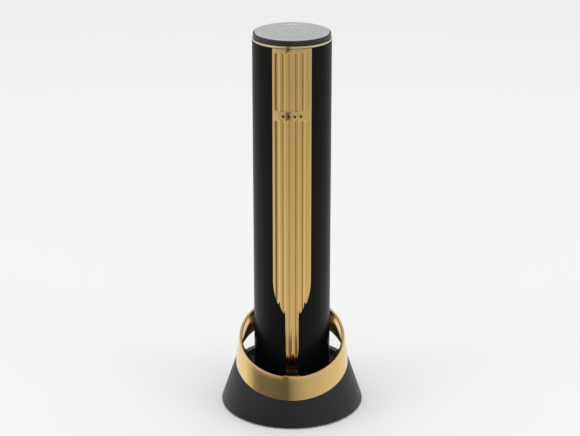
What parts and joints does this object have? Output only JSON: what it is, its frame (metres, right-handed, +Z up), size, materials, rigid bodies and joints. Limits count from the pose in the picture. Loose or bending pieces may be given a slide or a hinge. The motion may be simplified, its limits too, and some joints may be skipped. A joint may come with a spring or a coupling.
{
  "type": "electric wine opener",
  "caption": "Tall black cylinder with a fluted gold front panel and a grey touch top, standing in a cone-shaped holder with a tilted gold band.",
  "frame": {"origin": "middle of the holder's underside, on the surface it stands on", "axes": "+Z up along the opener, -Y towards the front with the fluted panel, +X to the right seen from the front"},
  "size_m": [0.0902, 0.0902, 0.243],
  "materials": {
    "base_black": "satin, fine spark texture",
    "body_black": "satin black lacquer",
    "cap_black": "satin",
    "gold": "pale gold plating, polished",
    "touch_glass": "glossy grey, printed on the back",
    "steel": "turned or pressed",
    "worm_steel": "polished",
    "rubber": "matte",
    "grey_plastic": "moulded",
    "nylon": "natural moulded nylon",
    "brass": "machined",
    "board": "green solder mask",
    "cell_wrap": "shrink wrap",
    "clear": "clear moulding"
  },
  "bodies": {
    "holder": {"base_shell": "base_black", "tilt_band": "gold", "band_screw_1": "steel", "band_screw_2": "steel", "band_screw_3": "steel", "socket_pad": "rubber", "base_weight": "steel", "bottom_cover": "grey_plastic", "foot_ring": "rubber", "cover_screw_1": "steel", "cover_screw_2": "steel", "cover_screw_3": "steel"},
    "opener": {"body_tube": "body_black", "front_panel": "gold", "trim_ring": "gold", "cap_ring": "cap_black", "touch_disc": "touch_glass", "chassis_right": "grey_plastic", "chassis_left": "grey_plastic", "neck_guide": "grey_plastic", "mouth_ring": "body_black", "mouth_screw_1": "steel", "mouth_screw_2": "steel", "mouth_screw_3": "steel", "touch_board": "board", "light_guide": "clear", "control_board": "board", "battery_holder": "grey_plastic", "battery_cell_1": "cell_wrap", "battery_cell_2": "cell_wrap", "charge_port": "steel", "motor_can": "steel", "motor_end_cap": "grey_plastic", "ring_gear": "nylon", "gearbox_lid": "grey_plastic", "lid_screw_1": "steel", "lid_screw_2": "steel", "lid_screw_3": "steel", "motor_screw_1": "steel", "motor_screw_2": "steel", "thrust_washer": "brass", "spiral_barrel": "nylon"},
    "drive": {"drive_tube": "steel"},
    "first_carrier": {"carrier_1": "steel"},
    "worm_feed": {"worm_carriage": "grey_plastic", "worm": "worm_steel", "guide_pin_1": "steel", "guide_pin_2": "steel", "worm_nut": "steel"},
    "motor_shaft": {"motor_pinion": "brass", "motor_rotor": "brass"},
    "planet_1_1": {"stage_1_planet_1": "nylon"},
    "planet_1_2": {"stage_1_planet_2": "nylon"},
    "planet_1_3": {"stage_1_planet_3": "nylon"},
    "planet_2_1": {"stage_2_planet_1": "steel"},
    "planet_2_2": {"stage_2_planet_2": "steel"},
    "planet_2_3": {"stage_2_planet_3": "steel"}
  },
  "joints": [
    {"name": "opener_lift", "type": "slide", "parent": "holder", "child": "opener", "axis": [0, 0, 1], "range_m": [0, 0.075]},
    {"name": "drive_turn", "type": "hinge", "parent": "opener", "child": "drive", "pos_m": [0, 0, 0.13], "axis": [0, 0, -1], "range_deg": [0, 1801]},
    {"name": "worm_feed_slide", "type": "slide", "parent": "drive", "child": "worm_feed", "axis": [0, 0, -1], "range_m": [0, 0.045]},
    {"name": "first_carrier_turn", "type": "hinge", "parent": "opener", "child": "first_carrier", "pos_m": [0, 0, 0.137], "axis": [0, 0, -1], "range_deg": [0, 8101]},
    {"name": "motor_turn", "type": "hinge", "parent": "opener", "child": "motor_shaft", "pos_m": [0, 0, 0.15], "axis": [0, 0, -1], "range_deg": [0, 36451]},
    {"name": "planet_2_1_turn", "type": "hinge", "parent": "drive", "child": "planet_2_1", "pos_m": [0.0108, 0, 0.1324], "axis": [0, 0, -1], "range_deg": [-5041, 0]},
    {"name": "planet_2_2_turn", "type": "hinge", "parent": "drive", "child": "planet_2_2", "pos_m": [-0.0054, 0.00935, 0.1324], "axis": [0, 0, -1], "range_deg": [-5041, 0]},
    {"name": "planet_2_3_turn", "type": "hinge", "parent": "drive", "child": "planet_2_3", "pos_m": [-0.0054, -0.00935, 0.1324], "axis": [0, 0, -1], "range_deg": [-5041, 0]},
    {"name": "planet_1_1_turn", "type": "hinge", "parent": "first_carrier", "child": "planet_1_1", "pos_m": [0.0108, 0, 0.1416], "axis": [0, 0, -1], "range_deg": [-22681, 0]},
    {"name": "planet_1_2_turn", "type": "hinge", "parent": "first_carrier", "child": "planet_1_2", "pos_m": [-0.0054, 0.00935, 0.1416], "axis": [0, 0, -1], "range_deg": [-22681, 0]},
    {"name": "planet_1_3_turn", "type": "hinge", "parent": "first_carrier", "child": "planet_1_3", "pos_m": [-0.0054, -0.00935, 0.1416], "axis": [0, 0, -1], "range_deg": [-22681, 0]}
  ],
  "couplings": [
    {"joint": "drive_turn", "follows": "worm_feed_slide", "rad_per_m": 698.13},
    {"joint": "first_carrier_turn", "follows": "worm_feed_slide", "rad_per_m": 3141.6},
    {"joint": "motor_turn", "follows": "worm_feed_slide", "rad_per_m": 14137},
    {"joint": "planet_2_1_turn", "follows": "worm_feed_slide", "rad_per_m": -1954.8},
    {"joint": "planet_2_2_turn", "follows": "worm_feed_slide", "rad_per_m": -1954.8},
    {"joint": "planet_2_3_turn", "follows": "worm_feed_slide", "rad_per_m": -1954.8},
    {"joint": "planet_1_1_turn", "follows": "worm_feed_slide", "rad_per_m": -8796.5},
    {"joint": "planet_1_2_turn", "follows": "worm_feed_slide", "rad_per_m": -8796.5},
    {"joint": "planet_1_3_turn", "follows": "worm_feed_slide", "rad_per_m": -8796.5}
  ]
}
